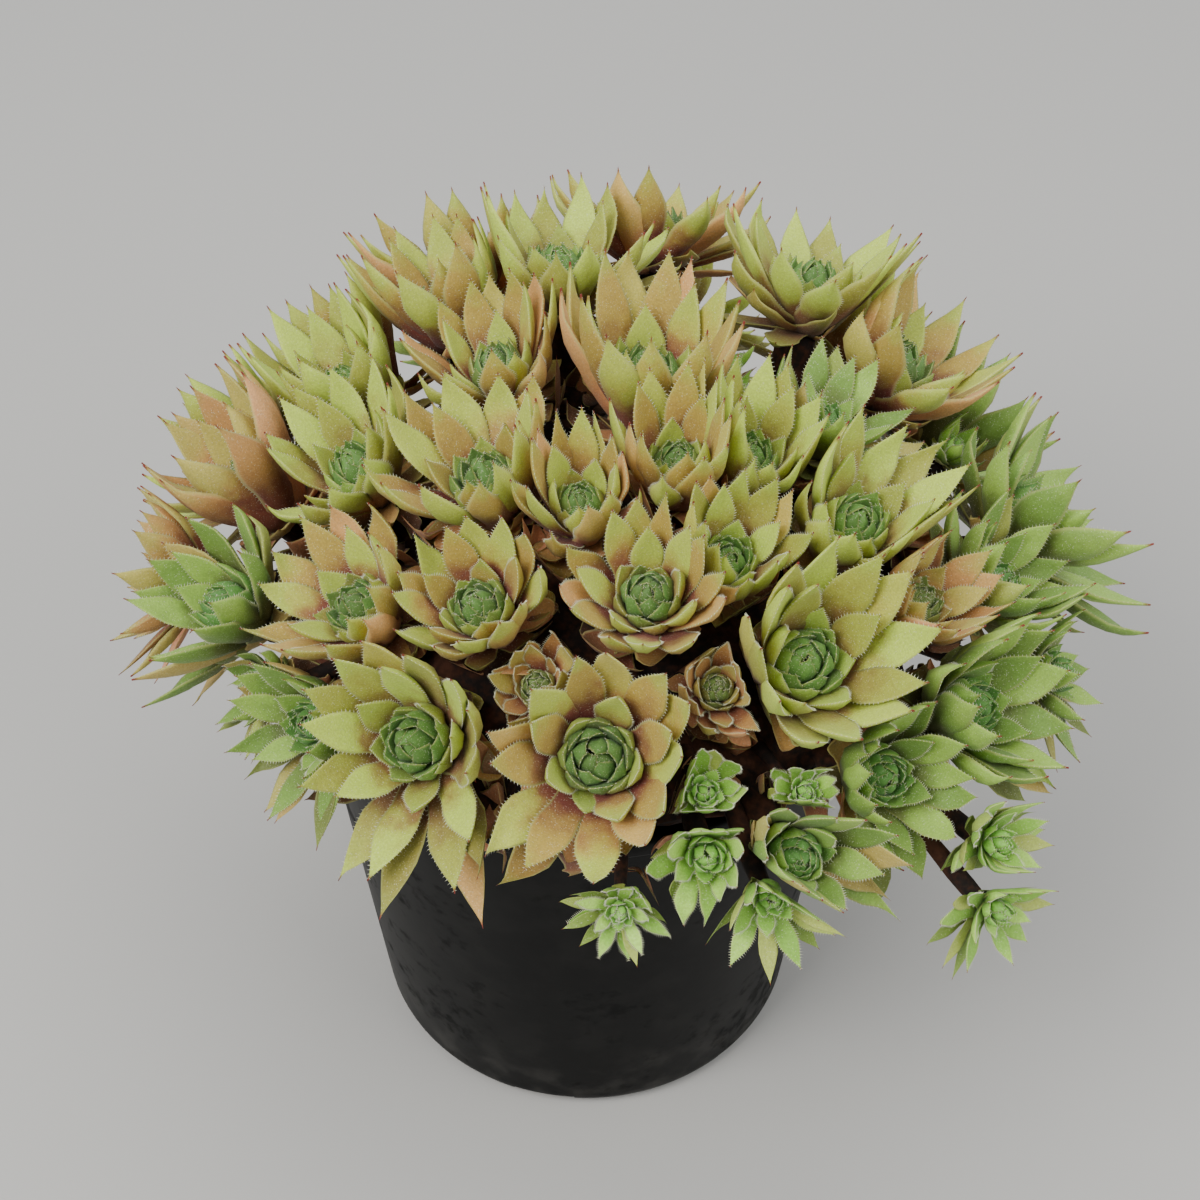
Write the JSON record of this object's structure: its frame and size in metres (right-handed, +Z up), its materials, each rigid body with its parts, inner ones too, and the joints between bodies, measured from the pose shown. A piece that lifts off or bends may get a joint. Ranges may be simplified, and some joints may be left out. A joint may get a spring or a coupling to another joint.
{
  "type": "hens and chicks houseleek in a nursery pot",
  "caption": "Domed clump of houseleek rosettes, large and small, on one rootstock in the soil of a tapered black plastic nursery pot; stands on its flat base.",
  "frame": {"origin": "centre of the pot's flat underside, on the surface that it stands on", "axes": "+Z up along the pot's axis, -Y to the front of the clump, +X to its right"},
  "size_m": [0.3029, 0.2796, 0.2551],
  "materials": {
    "pot": "black moulded plastic, semi-matt, scuffed and dusty",
    "soil": "dark damp potting mix",
    "rootstock": "red-brown woody stems and dry leaf bases",
    "leaf_blush": "velvety leaf, mauve at the base to olive and yellow-green at the tip",
    "leaf_olive": "velvety olive leaf with a pale edge and a red point",
    "leaf_green": "green leaf with a pale edge",
    "leaf_tan": "old tan and pink leaf with a red point",
    "leaf_fresh": "bright young leaf"
  },
  "bodies": {
    "root": {"pot": "pot", "soil": "soil", "rootstock": "rootstock", "hen_01": "leaf_blush", "hen_02": "leaf_olive", "hen_03": "leaf_olive", "hen_04": "leaf_blush", "hen_05": "leaf_blush", "hen_06": "leaf_blush", "hen_07": "leaf_blush", "hen_08": "leaf_blush", "hen_09": "leaf_olive", "hen_10": "leaf_blush", "hen_11": "leaf_olive", "hen_12": "leaf_blush", "hen_13": "leaf_tan", "hen_14": "leaf_tan", "hen_15": "leaf_green", "hen_16": "leaf_blush", "hen_17": "leaf_blush", "hen_18": "leaf_olive", "hen_19": "leaf_blush", "hen_20": "leaf_olive", "hen_21": "leaf_green", "hen_22": "leaf_green", "hen_23": "leaf_green", "hen_24": "leaf_tan", "hen_25": "leaf_green", "hen_26": "leaf_blush", "hen_27": "leaf_olive", "hen_28": "leaf_olive", "hen_29": "leaf_green", "hen_30": "leaf_green", "hen_31": "leaf_olive", "hen_32": "leaf_blush", "hen_33": "leaf_green", "hen_34": "leaf_olive", "hen_35": "leaf_green", "hen_36": "leaf_olive", "hen_37": "leaf_green", "hen_38": "leaf_olive", "hen_39": "leaf_blush", "hen_40": "leaf_tan", "hen_41": "leaf_tan", "chick_01": "leaf_fresh", "chick_02": "leaf_fresh", "chick_03": "leaf_fresh", "chick_04": "leaf_fresh", "chick_05": "leaf_fresh", "chick_06": "leaf_fresh", "chick_07": "leaf_fresh", "chick_08": "leaf_fresh", "chick_09": "leaf_green", "chick_10": "leaf_green", "shoot_01": "leaf_fresh", "shoot_02": "leaf_fresh"}
  },
  "joints": []
}
